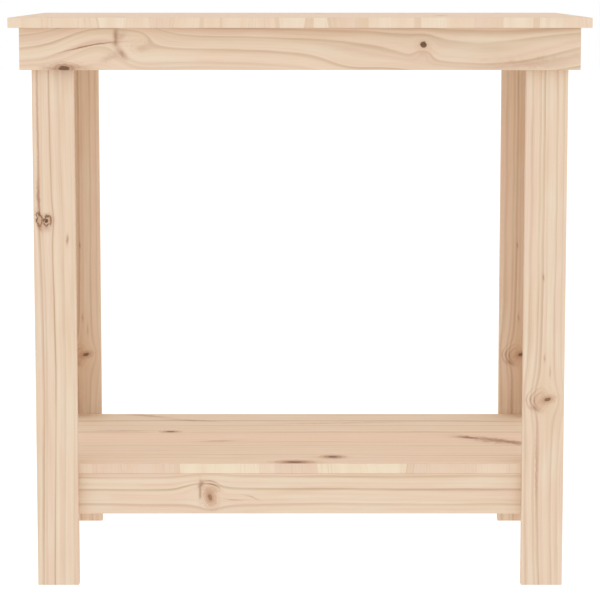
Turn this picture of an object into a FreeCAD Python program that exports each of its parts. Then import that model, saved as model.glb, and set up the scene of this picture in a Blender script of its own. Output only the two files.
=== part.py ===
"""Potting bench in planed pine: a worktop on four L-shaped legs, with a low storage shelf.

The legs stand inside a frame of upper aprons. A second frame of lower rails stands inside the legs
and carries the shelf. Every screw is driven from inside, so no outer face shows a fastener.

Millimetres, +Z up, +X to the right, the long front edge towards -Y.
The origin is on the floor, under the middle of the worktop.
"""

import FreeCAD, Part
import os
import re

import Sketcher

Vector = FreeCAD.Vector
SIDES = (-1, 1)

doc = FreeCAD.newDocument("PottingBench")


# ---- Driving dimensions -------------------------------------------------------------------------

DIMENSIONS = [
    ("bench_length", 800, "worktop, along X"),
    ("bench_depth", 500, "worktop, along Y"),
    ("bench_height", 800, "floor to the worktop's upper face"),
    ("panel_thickness", 14, "edge-glued panel of the worktop and the shelf"),
    ("panel_overhang", 14, "worktop past the aprons, on all four sides"),
    ("board_width", 58, "planed board of the legs, aprons and rails"),
    ("board_thickness", 15, "the same board"),
    ("leg_side_width", 43, "ripped board that makes each leg an L"),
    ("rail_height", 100, "floor to the underside of the lower rails"),
    ("cleat_section", 20, "square batten that holds each panel from below"),
    ("cleat_clearance", 1, "gap at each end of a cleat"),
    ("arris_radius", 1, "easing of every sawn or planed edge"),
    ("screw_diameter", 4, "wood screws, both lengths"),
    ("screw_head_diameter", 8, "countersunk head"),
    ("screw_head_height", 2.4, "countersunk head, with its cone"),
    ("screw_point_length", 5, "tapered point"),
    ("recess_span", 4.4, "cross recess, tip to tip"),
    ("recess_width", 0.9, "one arm of the cross recess"),
    ("recess_depth", 1.6, "cross recess"),
    ("board_screw_length", 25, "screws through one board into the next"),
    ("cleat_screw_length", 30, "screws through a cleat"),
    ("screw_edge_distance", 14.5, "board edge to the nearer screw"),
    ("dowel_diameter", 6, "fluted dowels in the corner of each leg"),
    ("dowel_length", 30, "the same dowels"),
    ("dowel_depth_in_face", 10, "blind hole in the leg's face board"),
]

sheet = doc.addObject("Spreadsheet::Sheet", "Sizes")
for row, (alias, size, meaning) in enumerate(DIMENSIONS, start=1):
    sheet.set(f"A{row}", meaning)
    sheet.set(f"B{row}", str(size))
    sheet.setAlias(f"B{row}", alias)
doc.recompute()


def bound(formula):
    """A formula in plain aliases, written as an expression on the sheet."""
    return re.sub(r"[a-z]\w+", lambda word: "Sizes." + word.group(), formula)


def value(formula):
    """The same formula, worked out as a number."""
    return float(sheet.evalExpression(bound(formula)))


# ---- Planes that the boards are set out from ----------------------------------------------------

APRON_X = "(bench_length / 2 - panel_overhang)"
APRON_Y = "(bench_depth / 2 - panel_overhang)"
LEG_X = f"({APRON_X} - board_thickness)"
LEG_Y = f"({APRON_Y} - board_thickness)"
RAIL_X = f"({LEG_X} - board_thickness)"
RAIL_Y = f"({LEG_Y} - board_thickness)"
LEG_INNER_X = f"({LEG_X} - board_width)"
LEG_INNER_Y = f"({RAIL_Y} - leg_side_width)"
PANEL_UNDERSIDE = "(bench_height - panel_thickness)"
SHELF_UNDERSIDE = "(rail_height + board_width)"


# ---- Boards -------------------------------------------------------------------------------------

PLANE_ACROSS = {"X": "YZ_Plane", "Y": "XZ_Plane", "Z": "XY_Plane"}


def centred_rectangle(body, plane_role, width, height):
    """A rectangle on one of the body's origin planes, centred on the origin, driven by the sheet."""
    sketch = body.newObject("Sketcher::SketchObject", "Outline")
    plane = next(item for item in body.Origin.OriginFeatures if item.Role == plane_role)
    sketch.AttachmentSupport = [(plane, "")]
    sketch.MapMode = "FlatFace"
    corners = [Vector(-1, -1, 0), Vector(1, -1, 0), Vector(1, 1, 0), Vector(-1, 1, 0)]
    for corner in range(4):
        sketch.addGeometry(Part.LineSegment(corners[corner], corners[(corner + 1) % 4]))
    for corner in range(4):
        sketch.addConstraint(Sketcher.Constraint("Coincident", corner, 2, (corner + 1) % 4, 1))
    for level_side, upright_side in ((0, 1), (2, 3)):
        sketch.addConstraint(Sketcher.Constraint("Horizontal", level_side))
        sketch.addConstraint(Sketcher.Constraint("Vertical", upright_side))
    sketch.addConstraint(Sketcher.Constraint("Symmetric", 0, 1, 1, 2, -1, 1))
    sides = (("Width", "DistanceX", 0, width), ("Height", "DistanceY", 1, height))
    for name, kind, side, formula in sides:
        index = sketch.addConstraint(Sketcher.Constraint(kind, side, 1, side, 2, value(formula)))
        sketch.renameConstraint(index, name)
        sketch.setExpression(f"Constraints.{name}", bound(formula))
    return sketch


def place(thing, centre):
    """Binds the placement of a body to formulas for its centre."""
    for axis, formula in zip("xyz", centre):
        thing.setExpression(f"Placement.Base.{axis}", bound(formula))


def board(label, size, centre, flat_axis):
    """A board with eased edges. flat_axis is the axis that its thickness lies along."""
    body = doc.addObject("PartDesign::Body", label + "_blank")
    sizes = dict(zip("XYZ", size))
    thickness = sizes.pop(flat_axis)
    outline = centred_rectangle(body, PLANE_ACROSS[flat_axis], *sizes.values())
    pad = body.newObject("PartDesign::Pad", "Thickness")
    pad.Profile = outline
    pad.SideType = "Symmetric"
    pad.setExpression("Length", bound(thickness))
    doc.recompute()
    easing = body.newObject("PartDesign::Fillet", "EasedEdges")
    easing.Base = (pad, [f"Edge{number}" for number in range(1, len(pad.Shape.Edges) + 1)])
    easing.setExpression("Radius", bound("arris_radius"))
    body.Tip = easing
    place(body, centre)
    return body


def signed(side, formula):
    """A formula for the left or right, or the front or rear, of a symmetrical pair."""
    return formula if side > 0 else "-" + formula


blanks = {}


def add_board(label, size, centre, flat_axis):
    blanks[label] = board(label, size, centre, flat_axis)


# ---- Worktop and shelf --------------------------------------------------------------------------

add_board(
    "top_panel",
    ("bench_length", "bench_depth", "panel_thickness"),
    ("0", "0", "bench_height - panel_thickness / 2"),
    "Z",
)
add_board(
    "shelf_panel",
    (f"2 * {RAIL_X}", f"2 * {RAIL_Y}", "panel_thickness"),
    ("0", "0", f"{SHELF_UNDERSIDE} + panel_thickness / 2"),
    "Z",
)


# ---- Legs: a face board and a side board make an L ----------------------------------------------

LEG_NAMES = {(-1, -1): "front_left", (1, -1): "front_right", (-1, 1): "rear_left", (1, 1): "rear_right"}
LEG_CENTRE_Z = f"{PANEL_UNDERSIDE} / 2"

for (across, back), name in LEG_NAMES.items():
    add_board(
        f"{name}_leg_face",
        ("board_width", "board_thickness", PANEL_UNDERSIDE),
        (
            signed(across, f"({LEG_X} - board_width / 2)"),
            signed(back, f"({LEG_Y} - board_thickness / 2)"),
            LEG_CENTRE_Z,
        ),
        "Y",
    )
    add_board(
        f"{name}_leg_side",
        ("board_thickness", "leg_side_width", PANEL_UNDERSIDE),
        (
            signed(across, f"({LEG_X} - board_thickness / 2)"),
            signed(back, f"({RAIL_Y} - leg_side_width / 2)"),
            LEG_CENTRE_Z,
        ),
        "X",
    )


# ---- Upper aprons outside the legs, lower rails inside them -------------------------------------

APRON_CENTRE_Z = f"{PANEL_UNDERSIDE} - board_width / 2"
RAIL_CENTRE_Z = "rail_height + board_width / 2"

for side, front_or_rear, left_or_right in ((-1, "front", "left"), (1, "rear", "right")):
    add_board(
        f"{front_or_rear}_apron",
        (f"2 * {APRON_X}", "board_thickness", "board_width"),
        ("0", signed(side, f"({APRON_Y} - board_thickness / 2)"), APRON_CENTRE_Z),
        "Y",
    )
    add_board(
        f"{left_or_right}_apron",
        ("board_thickness", f"2 * {LEG_Y}", "board_width"),
        (signed(side, f"({APRON_X} - board_thickness / 2)"), "0", APRON_CENTRE_Z),
        "X",
    )
    add_board(
        f"lower_{front_or_rear}_rail",
        (f"2 * {RAIL_X}", "board_thickness", "board_width"),
        ("0", signed(side, f"({RAIL_Y} - board_thickness / 2)"), RAIL_CENTRE_Z),
        "Y",
    )
    add_board(
        f"lower_{left_or_right}_rail",
        ("board_thickness", f"2 * ({RAIL_Y} - board_thickness)", "board_width"),
        (signed(side, f"({RAIL_X} - board_thickness / 2)"), "0", RAIL_CENTRE_Z),
        "X",
    )


# ---- Cleats in the corners under each panel -----------------------------------------------------

CLEAT_HALF = "cleat_section / 2"
LONG_CLEAT = f"2 * ({LEG_INNER_X} - cleat_clearance)"
SHORT_CLEAT = f"2 * ({LEG_INNER_Y} - cleat_clearance)"

for side, front_or_rear, left_or_right in ((-1, "front", "left"), (1, "rear", "right")):
    add_board(
        f"{front_or_rear}_top_cleat",
        (LONG_CLEAT, "cleat_section", "cleat_section"),
        ("0", signed(side, f"({LEG_Y} - {CLEAT_HALF})"), f"{PANEL_UNDERSIDE} - {CLEAT_HALF}"),
        "Y",
    )
    add_board(
        f"{left_or_right}_top_cleat",
        ("cleat_section", SHORT_CLEAT, "cleat_section"),
        (signed(side, f"({LEG_X} - {CLEAT_HALF})"), "0", f"{PANEL_UNDERSIDE} - {CLEAT_HALF}"),
        "X",
    )
    add_board(
        f"{front_or_rear}_shelf_cleat",
        (LONG_CLEAT, "cleat_section", "cleat_section"),
        (
            "0",
            signed(side, f"({RAIL_Y} - board_thickness - {CLEAT_HALF})"),
            f"{SHELF_UNDERSIDE} - {CLEAT_HALF}",
        ),
        "Y",
    )


# ---- Fasteners ----------------------------------------------------------------------------------

UP = Vector(0, 0, 1)


def screw_blank(length_alias):
    """A countersunk wood screw without its recess. Head at the origin, point along +Z."""
    shank = value("screw_diameter / 2")
    head = value("screw_head_height")
    point = value(f"{length_alias} - screw_point_length")
    tip = value(length_alias)
    profile = Part.makePolygon(
        [
            Vector(0, 0, 0),
            Vector(value("screw_head_diameter / 2"), 0, 0),
            Vector(shank, 0, head),
            Vector(shank, 0, point),
            Vector(0, 0, tip),
            Vector(0, 0, 0),
        ]
    )
    return Part.Face(profile).revolve(Vector(0, 0, 0), UP, 360)


def screw_recess():
    """The cross recess, as the solid that the driver's tip fills."""
    span = value("recess_span")
    width = value("recess_width")
    depth = value("recess_depth")
    arms = [
        Part.makeBox(span, width, depth, Vector(-span / 2, -width / 2, 0)),
        Part.makeBox(width, span, depth, Vector(-width / 2, -span / 2, 0)),
    ]
    return arms[0].fuse(arms[1])


def dowel():
    """A dowel with chamfered ends. It starts at the origin and runs along +Z."""
    rod = Part.makeCylinder(value("dowel_diameter / 2"), value("dowel_length"))
    rims = [edge for edge in rod.Edges if edge.Curve.TypeId == "Part::GeomCircle"]
    return rod.makeChamfer(value("arris_radius"), rims)


def group(label, shape, places):
    """Separate solids of one shape, one at each (start, direction)."""
    copies = []
    for start, direction in places:
        turn = FreeCAD.Rotation(UP, direction)
        copies.append(shape.transformed(FreeCAD.Placement(start, turn).toMatrix()))
    item = doc.addObject("Part::Feature", label)
    item.Shape = Part.makeCompound(copies)
    item.Placement = FreeCAD.Placement()
    return item


def pair_along(board_base):
    """Heights of the two screws that share one board end, in a board with its lower edge there."""
    low = value(f"{board_base} + screw_edge_distance")
    high = value(f"{board_base} + board_width - screw_edge_distance")
    return low, high


# Board screws: leg into apron at the top, lower rail into leg at the bottom, at all four corners.
FREE_FACE_X = value(f"{RAIL_X} - (board_width - board_thickness) / 2")
FREE_SIDE_Y = value(f"{RAIL_Y} - leg_side_width / 2")
CLEAR_RAIL_X = value(f"{RAIL_X} - board_thickness - screw_edge_distance")
CLEAR_RAIL_Y = value(f"{RAIL_Y} - board_thickness - screw_edge_distance")

board_screw_places = []
for across, back in LEG_NAMES:
    outward_x = Vector(across, 0, 0)
    outward_y = Vector(0, back, 0)
    for height in pair_along(f"({PANEL_UNDERSIDE} - board_width)"):
        face = Vector(across * FREE_FACE_X, back * value(RAIL_Y), height)
        side = Vector(across * value(RAIL_X), back * FREE_SIDE_Y, height)
        board_screw_places += [(face, outward_y), (side, outward_x)]
    for height in pair_along("rail_height"):
        face = Vector(across * CLEAR_RAIL_X, back * value(f"{RAIL_Y} - board_thickness"), height)
        side = Vector(across * value(f"{RAIL_X} - board_thickness"), back * CLEAR_RAIL_Y, height)
        board_screw_places += [(face, outward_y), (side, outward_x)]

# Cleat screws: sideways into the apron or rail, and up into the panel between those.
LONG_SPACING = value(f"{LONG_CLEAT} / 5")
SHORT_SPACING = value(f"{SHORT_CLEAT} / 4")
SECTION = value("cleat_section")

cleat_screw_places = []
for side in SIDES:
    for inner_face, underside in (
        (value(LEG_Y) - SECTION, value(PANEL_UNDERSIDE)),
        (value(f"{RAIL_Y} - board_thickness") - SECTION, value(SHELF_UNDERSIDE)),
    ):
        for step in (-2, 0, 2):
            start = Vector(step * LONG_SPACING, side * inner_face, underside - SECTION / 2)
            cleat_screw_places.append((start, Vector(0, side, 0)))
        for step in (-1, 1):
            middle = side * (inner_face + SECTION / 2)
            cleat_screw_places.append((Vector(step * LONG_SPACING, middle, underside - SECTION), UP))
    inner_face = value(LEG_X) - SECTION
    underside = value(PANEL_UNDERSIDE)
    for step in SIDES:
        start = Vector(side * inner_face, step * SHORT_SPACING, underside - SECTION / 2)
        cleat_screw_places.append((start, Vector(side, 0, 0)))
    cleat_screw_places.append((Vector(side * (inner_face + SECTION / 2), 0, underside - SECTION), UP))

# Dowels: spread evenly up each leg, from the side board into the face board.
DOWELS_PER_LEG = 5

dowel_places = []
for across, back in LEG_NAMES:
    for step in range(DOWELS_PER_LEG):
        start = Vector(
            across * value(f"{LEG_X} - board_thickness / 2"),
            back * value(f"{RAIL_Y} + dowel_depth_in_face"),
            value(PANEL_UNDERSIDE) * (step + 0.5) / DOWELS_PER_LEG,
        )
        dowel_places.append((start, Vector(0, -back, 0)))

screw_groups = {}
for label, length_alias, places in (
    ("board_screws", "board_screw_length", board_screw_places),
    ("cleat_screws", "cleat_screw_length", cleat_screw_places),
):
    blank = group(label + "_blank", screw_blank(length_alias), places)
    recesses = group(label + "_recess", screw_recess(), places)
    screws = doc.addObject("Part::Cut", label)
    screws.Base = blank
    screws.Tool = recesses
    screw_groups[label] = (screws, blank)
leg_dowels = group("leg_dowels", dowel(), dowel_places)


# ---- Holes: each board is cut by the fasteners that pass into it --------------------------------

fasteners = doc.addObject("Part::Compound", "all_fasteners")
fasteners.Links = [blank for screws, blank in screw_groups.values()] + [leg_dowels]
doc.recompute()

nodes = {}
for label, body in blanks.items():
    drilled = doc.addObject("Part::Cut", label)
    drilled.Base = body
    drilled.Tool = fasteners
    nodes[label] = drilled
for label, (screws, blank) in screw_groups.items():
    nodes[label] = screws
nodes["leg_dowels"] = leg_dowels
doc.recompute()


# ---- Check and export ---------------------------------------------------------------------------

for item in doc.Objects:
    if "Invalid" in item.State or "Error" in item.State:
        raise RuntimeError(f"{item.Label} did not compute: {item.State}")
for label, item in nodes.items():
    if item.Shape.isNull() or not item.Shape.isValid():
        raise RuntimeError(f"{label} has no valid shape")

os.makedirs("parts", exist_ok=True)
for label, item in nodes.items():
    item.Label = label
    item.Shape.exportStep(f"parts/{label}.step")
    box = item.Shape.BoundBox
    print(
        f"{label:24s} {len(item.Shape.Solids):3d} solids"
        f"  {box.XLength:6.1f} x {box.YLength:6.1f} x {box.ZLength:6.1f}"
    )
print(len(nodes), "nodes")
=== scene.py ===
# %% [markdown]
# # A potting bench in planed pine
#
# The bench arrives as finished solids: boards, panels, cleats, screws and dowels, each in its own place.
# This lesson gives them their looks. The boards keep their shape and get a pine that is worked out
# from growth rings, knots and fibres. The two edge-glued panels and the screws are built again
# with Geometry Nodes, because they follow a rule: staves side by side, and one screw repeated.
#
# First the solids are loaded, and their box is kept. Their box is kept, because nothing may grow past
# it.

# %% Load the frame
import math
from collections import namedtuple

import bmesh
import bpy
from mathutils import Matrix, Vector


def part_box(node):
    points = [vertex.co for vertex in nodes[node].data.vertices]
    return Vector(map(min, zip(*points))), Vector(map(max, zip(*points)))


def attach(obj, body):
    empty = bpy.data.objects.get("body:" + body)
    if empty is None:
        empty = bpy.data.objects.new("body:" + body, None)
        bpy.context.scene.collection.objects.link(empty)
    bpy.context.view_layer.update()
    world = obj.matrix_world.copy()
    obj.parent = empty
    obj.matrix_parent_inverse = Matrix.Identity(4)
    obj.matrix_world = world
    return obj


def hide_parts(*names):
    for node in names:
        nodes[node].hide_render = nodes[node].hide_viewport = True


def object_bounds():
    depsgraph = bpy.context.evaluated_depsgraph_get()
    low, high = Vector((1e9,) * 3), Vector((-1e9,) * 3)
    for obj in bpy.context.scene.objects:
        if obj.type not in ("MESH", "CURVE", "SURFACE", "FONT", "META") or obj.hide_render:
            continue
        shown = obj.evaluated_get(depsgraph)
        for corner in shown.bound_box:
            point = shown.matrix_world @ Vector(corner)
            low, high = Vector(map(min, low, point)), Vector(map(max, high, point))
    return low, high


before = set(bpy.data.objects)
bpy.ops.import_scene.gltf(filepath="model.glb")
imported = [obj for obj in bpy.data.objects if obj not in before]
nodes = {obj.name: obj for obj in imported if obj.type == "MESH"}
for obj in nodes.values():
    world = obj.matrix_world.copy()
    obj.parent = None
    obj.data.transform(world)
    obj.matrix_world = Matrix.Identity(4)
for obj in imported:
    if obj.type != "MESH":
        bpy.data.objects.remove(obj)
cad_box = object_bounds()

print(len(nodes), "nodes, box", [tuple(round(c, 3) for c in corner) for corner in cad_box])

# %% [markdown]
# ## Camera
#
# The bench is seen square from the front by a long lens, a little above the worktop, so its far edge
# just shows. A long lens from far away keeps the legs nearly parallel. The camera looks slightly down
# instead of being shifted, so that it frames the bench from any other side as well.

# %% Camera
CAMERA_BACK = 3.716
CAMERA_HEIGHT = 0.8533
CAMERA_LOOKS_DOWN = math.radians(7.27)
LENS_MM = 151.3
SENSOR_MM = 36.0

lens = bpy.data.cameras.new("camera")
lens.lens = LENS_MM
lens.sensor_width = SENSOR_MM
camera = bpy.data.objects.new("camera", lens)
camera.location = (0.0, -CAMERA_BACK, CAMERA_HEIGHT)
camera.rotation_euler = (math.pi / 2 - CAMERA_LOOKS_DOWN, 0.0, 0.0)
bpy.context.scene.collection.objects.link(camera)
bpy.context.scene.camera = camera
print("camera", tuple(camera.location))

# %% [markdown]
# ## Studio
#
# The room is a light tent: an even white dome, and a floor that glows nearly as white as the dome. One
# weak, large lamp in front lifts the worktop a touch. In such even light only nearness makes shade. The
# rear legs and the shelf see more boards than tent, and that light comes off the wood, so they look
# deeper and warmer. The plain Standard view keeps pale wood from turning grey.

# %% Dome and lamp
SKY_STRENGTH = 1.0
LAMP_WATTS = 3.0
LAMP_SIZE = 2.4
LAMP_PLACE = Vector((0.0, -2.3, 3.3))

scene = bpy.context.scene
scene.view_settings.view_transform = "Standard"
scene.view_settings.look = "None"

world = bpy.data.worlds.new("sky")
world.use_nodes = True
world.node_tree.nodes["Background"].inputs["Color"].default_value = (1, 1, 1, 1)
world.node_tree.nodes["Background"].inputs["Strength"].default_value = SKY_STRENGTH
scene.world = world

bench_middle = (cad_box[0] + cad_box[1]) / 2
lamp_data = bpy.data.lights.new("soft_lamp", "AREA")
lamp_data.energy = LAMP_WATTS
lamp_data.size = LAMP_SIZE
lamp = bpy.data.objects.new("soft_lamp", lamp_data)
lamp.location = LAMP_PLACE
lamp.rotation_euler = (bench_middle - LAMP_PLACE).to_track_quat("-Z", "Y").to_euler()
scene.collection.objects.link(lamp)
print("dome", SKY_STRENGTH, "and lamp", LAMP_WATTS, "W")

# %% [markdown]
# ## Floor
#
# The floor is a plain sheet, so large that its far edge is lost in the dome. It glows nearly as white as
# the dome, so no horizon shows. Under the glow it is deep grey, which leaves only a trace of shade round
# the feet.

# %% Floor
FLOOR_SIZE = 40.0
FLOOR_GLOW = 0.98
FLOOR_GREY = (0.1, 0.1, 0.1)

floor_material = bpy.data.materials.new("white_floor")
floor_material.use_nodes = True
floor_shader = floor_material.node_tree.nodes["Principled BSDF"]
floor_shader.inputs["Base Color"].default_value = (*FLOOR_GREY, 1)
floor_shader.inputs["Roughness"].default_value = 0.9
floor_shader.inputs["Emission Color"].default_value = (1, 1, 1, 1)
floor_shader.inputs["Emission Strength"].default_value = FLOOR_GLOW

floor_mesh = bpy.data.meshes.new("floor")
half = FLOOR_SIZE / 2
ground = cad_box[0][2]
floor_mesh.from_pydata(
    [(-half, -half, ground), (half, -half, ground), (half, half, ground), (-half, half, ground)],
    [],
    [(0, 1, 2, 3)],
)
floor_mesh.materials.append(floor_material)
floor = bpy.data.objects.new("floor", floor_mesh)
scene.collection.objects.link(floor)
print("floor", FLOOR_SIZE, "m wide")

# %% [markdown]
# ## Shader maths as Python
#
# A wood pattern is a formula, and a formula is hard to read as a drawing of boxes and wires. This small
# class wraps one output of a node. Adding, multiplying or dividing two of them adds the Math node that
# does it, so the formulas below read as formulas. Every other node comes from one method, `node`. The
# same class serves the Geometry Nodes trees further down, because they take the same Math nodes.

# %% A socket with operators
class Wire:
    """One output of a node. Python's operators on it add Math nodes."""

    def __init__(self, tree, socket):
        self.tree = tree
        self.socket = socket

    def node(self, kind, settings=None, inputs=None, output=0):
        """Any node: its settings first, then the values or links of its sockets."""
        made = self.tree.nodes.new(kind)
        for name, setting in (settings or {}).items():
            setattr(made, name, setting)
        for key, given in (inputs or {}).items():
            if isinstance(given, Wire):
                self.tree.links.new(given.socket, made.inputs[key])
            else:
                made.inputs[key].default_value = given
        return Wire(self.tree, made.outputs[output])

    def math(self, operation, first, second=0.0):
        return self.node("ShaderNodeMath", {"operation": operation}, {0: first, 1: second})

    def __add__(self, other):
        return self.math("ADD", self, other)

    def __radd__(self, other):
        return self.math("ADD", other, self)

    def __sub__(self, other):
        return self.math("SUBTRACT", self, other)

    def __rsub__(self, other):
        return self.math("SUBTRACT", other, self)

    def __mul__(self, other):
        return self.math("MULTIPLY", self, other)

    def __rmul__(self, other):
        return self.math("MULTIPLY", other, self)

    def __truediv__(self, other):
        return self.math("DIVIDE", self, other)

    def __rtruediv__(self, other):
        return self.math("DIVIDE", other, self)

    def vector(self, operation, other=(0.0, 0.0, 0.0)):
        return self.node("ShaderNodeVectorMath", {"operation": operation}, {0: self, 1: other})

    def squared(self):
        return self * self

    def root(self):
        return self.math("SQRT", self)

    def size(self):
        return self.math("ABSOLUTE", self)

    def least(self, other):
        return self.math("MINIMUM", self, other)

    def most(self, other):
        return self.math("MAXIMUM", self, other)

    def rise(self, low, high):
        """0 below low, 1 above high, and a smooth slope between them."""
        return self.node(
            "ShaderNodeMapRange",
            {"interpolation_type": "SMOOTHSTEP"},
            {0: self, 1: low, 2: high, 3: 0.0, 4: 1.0},
        )

    def hill(self, width):
        """1 where this is 0, fading away over about the width on both sides."""
        return self.math("EXPONENT", (self / width).squared() * -1.0)


print("a wire adds, multiplies and divides")

# %% [markdown]
# ## Noise, mixing and new materials
#
# Wood is streaky: its clouds are long along the board and short across it. So the noise here takes a
# length for each direction. A colour is mixed from two others by a mask, because a Math node would turn
# it grey. A new material starts from Object coordinates, which stay with the piece when it moves.

# %% Noise, mixing and new materials
MM = 1000.0


def noise(wires, lengths, shift=0.0, detail=2.0, roughness=0.5):
    """Cloudy noise from 0 to 1, stretched by a length in millimetres along each wire."""
    first = wires[0]
    scaled = {axis: wire / length + shift for axis, (wire, length) in enumerate(zip(wires, lengths))}
    vector = first.node("ShaderNodeCombineXYZ", None, scaled)
    return first.node(
        "ShaderNodeTexNoise",
        {"noise_dimensions": "3D"},
        {"Vector": vector, "Scale": 1.0, "Detail": detail, "Roughness": roughness},
    )


def mix(amount, colour, other):
    """From one colour to another. Each is a wire or plain red, green and blue."""
    colour = colour if isinstance(colour, Wire) else (*colour, 1.0)
    other = other if isinstance(other, Wire) else (*other, 1.0)
    inputs = {0: amount, 6: colour, 7: other}
    return amount.node("ShaderNodeMix", {"data_type": "RGBA"}, inputs, output=2)


def new_material(name):
    """An empty material, with its shader, and a wire to build from."""
    material = bpy.data.materials.new(name)
    material.use_nodes = True
    tree = material.node_tree
    start = Wire(tree, tree.nodes.new("ShaderNodeTexCoord").outputs["Object"])
    return material, tree.nodes["Principled BSDF"], start


def connect(shader, name, wire):
    wire.tree.links.new(wire.socket, shader.inputs[name])


print("shader maths ready")

# %% [markdown]
# ## What pine looks like
#
# A tree adds a ring each year: pale, soft wood in spring and a thin darker line in late summer. A plank
# is a slice through those rings. On its broad face they run as long, slowly waving lines, and on its
# end they are arcs. So one field serves every face: the distance from the pith, the tree's centre line,
# divided by the width of a ring. Where a branch grew, the rings flow round it like water round a post,
# and the same formula that describes such a flow bends the lines here. The rest is colour: the
# late-summer lines, a drift from straw to pink, fine fibres, and the dark heart of each knot.
#
# Each board states its own features, measured in millimetres as a maker would: along the board from its
# low or left end, and across it from its low or left edge.
#
# - A knot has a radius, and `swirl` is how far the rings round it are pushed, over a place `stretch`
#   times longer than wide. `heart`, `halo` and `bark` go from 0 to 1, `oval` flattens it, and `tilt` is
#   in radians. A blind knot, which never reached the surface, has no heart.
# - A line names one strong ring, and a mark is one streak that may slope or curve.
# - A bend lifts the rings over a stretch of board.
# - The stock is the tree: where its pith lies from the board's corner, how wide its rings are, how far
#   they wander, how strong they are, and the seed of its noise.

# %% Features of a board
KNOT_PARTS = "along across radius swirl stretch tilt heart halo bark oval"
Knot = namedtuple("Knot", KNOT_PARTS, defaults=(2.0, 0.0, 1.0, 0.5, 0.6, 0.2))
Line = namedtuple("Line", "across width dark", defaults=(0.5,))
Mark = namedtuple("Mark", "along across length width dark slope curve", defaults=(0.7, 0.0, 0.0))
Bend = namedtuple("Bend", "along across length width lift")
Stock = namedtuple("Stock", "pith_across pith_through ring wander contrast seed")

STRAW = (0.800, 0.660, 0.492)
BLUSH = (0.785, 0.583, 0.450)
PALE = (0.800, 0.690, 0.540)
LATE_WOOD = (0.500, 0.330, 0.205)
TAN = (0.715, 0.515, 0.345)
KNOT_HEART = (0.118, 0.053, 0.024)
KNOT_RED = (0.540, 0.300, 0.180)
MARK_BROWN = (0.260, 0.108, 0.056)
END_GRAIN = (0.620, 0.430, 0.280)


def bent_by_features(along, across, knots, bends):
    """The across coordinate, moved so that the rings flow round each knot and over each bend."""
    flow = across
    for knot in knots:
        from_knot = across - knot.across
        distance = ((along - knot.along) / knot.stretch).squared() + from_knot.squared()
        push = knot.swirl ** 2 / (distance + 0.5 * knot.swirl ** 2)
        flow = flow - from_knot * push
    for bend in bends:
        near = (along - bend.along).hill(bend.length) * (across - bend.across).hill(bend.width)
        flow = flow - near * bend.lift
    return flow


def knot_distance(along, across, knot):
    """1 at the rim of a knot's heart, an ellipse that may be tilted."""
    cosine = math.cos(knot.tilt)
    sine = math.sin(knot.tilt)
    far_along = along - knot.along
    far_across = across - knot.across
    long_way = (far_along * cosine + far_across * sine) / (knot.radius * (1.0 + knot.oval))
    short_way = (far_across * cosine - far_along * sine) / (knot.radius * (1.0 - knot.oval))
    return (long_way.squared() + short_way.squared()).root()


def mark_strength(along, across, ragged, mark):
    """How much of a mark is at each point: a short ragged streak that may slope or curve."""
    away = along - mark.along
    line = across - mark.across - away * mark.slope - away.squared() * mark.curve + ragged * mark.width
    return away.hill(mark.length) * line.hill(mark.width) * mark.dark


print("features: knots, marks, bends and named lines")

# %% [markdown]
# ## The pine itself
#
# `pine` builds one material. `along`, `across` and `through` are the board's own coordinates in
# millimetres. The ring field is bent twice: by slow noise, because no tree is straight, and by the
# features. A ring's dark line rises slowly and stops at once, so each line has a soft side and a
# sharp side. Each ring gets its own strength, from noise that only knows the ring's number. A board
# may also name its strongest rings, by the place where each one meets the board's face.

# %% Rings
SLOW_WAVE = (420.0, 90.0, 60.0)
QUICK_WAVE = (75.0, 24.0, 20.0)
QUICK_SHARE = 0.28
YEAR_CLOUD = 19.0
YEAR_SPREAD = 1.6
LINE_BEGINS = 0.45
LINE_DARKEST = 0.92
FAINTEST_RING = 0.15
FINE_SPACING = 0.16


def ring_radius(along, across, through, flow, stock):
    """Distance from the pith, with the waves and the good and bad years of a real tree."""
    place = (along, across, through)
    slow = noise(place, SLOW_WAVE, stock.seed) - 0.5
    quick = noise(place, QUICK_WAVE, stock.seed + 4.0) - 0.5
    moved = flow + slow * stock.wander + quick * (stock.wander * QUICK_SHARE)
    pith_way = moved - stock.pith_across
    return (pith_way.squared() + (through - stock.pith_through).squared()).root()


def soft_then_sharp(way, soft, sharp):
    """A line at 0 that rises slowly from below and stops quickly above."""
    return way.rise(-soft, 0.0) * (1.0 - way.rise(0.0, sharp))


def ring_lines(radius, fade, stock):
    """Dark late-wood lines, 0 to 1, each with a strength of its own."""
    year = noise((radius,) * 3, (YEAR_CLOUD,) * 3, stock.seed + 6.0) - 0.5
    rings = radius / stock.ring + year * YEAR_SPREAD + stock.seed
    number = rings.math("FLOOR", rings)
    part = rings - number
    line = part.rise(LINE_BEGINS, LINE_DARKEST) * (1.0 - part.rise(LINE_DARKEST, 1.0))
    own = number.node("ShaderNodeTexWhiteNoise", {"noise_dimensions": "1D"}, {"W": number})
    return line * (FAINTEST_RING + own.squared() * (1.0 - FAINTEST_RING)) * fade


def strong_lines(radius, fade, lines, stock):
    """The rings that a board names, by the place where they meet its face."""
    total = radius * 0.0
    for line in lines:
        its_radius = math.hypot(line.across - stock.pith_across, stock.pith_through)
        way = radius - its_radius
        total = total.most(soft_then_sharp(way, line.width * 2.6, line.width * 0.7) * line.dark)
    return total * fade


def fine_lines(along, radius, stock):
    """Faint close lines between the strong ones."""
    spread = radius / (stock.ring * FINE_SPACING)
    return noise((along, spread, spread), (900.0, 1.0, 1.0), stock.seed + 17.0, 2.0)


print("rings ready")

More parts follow.
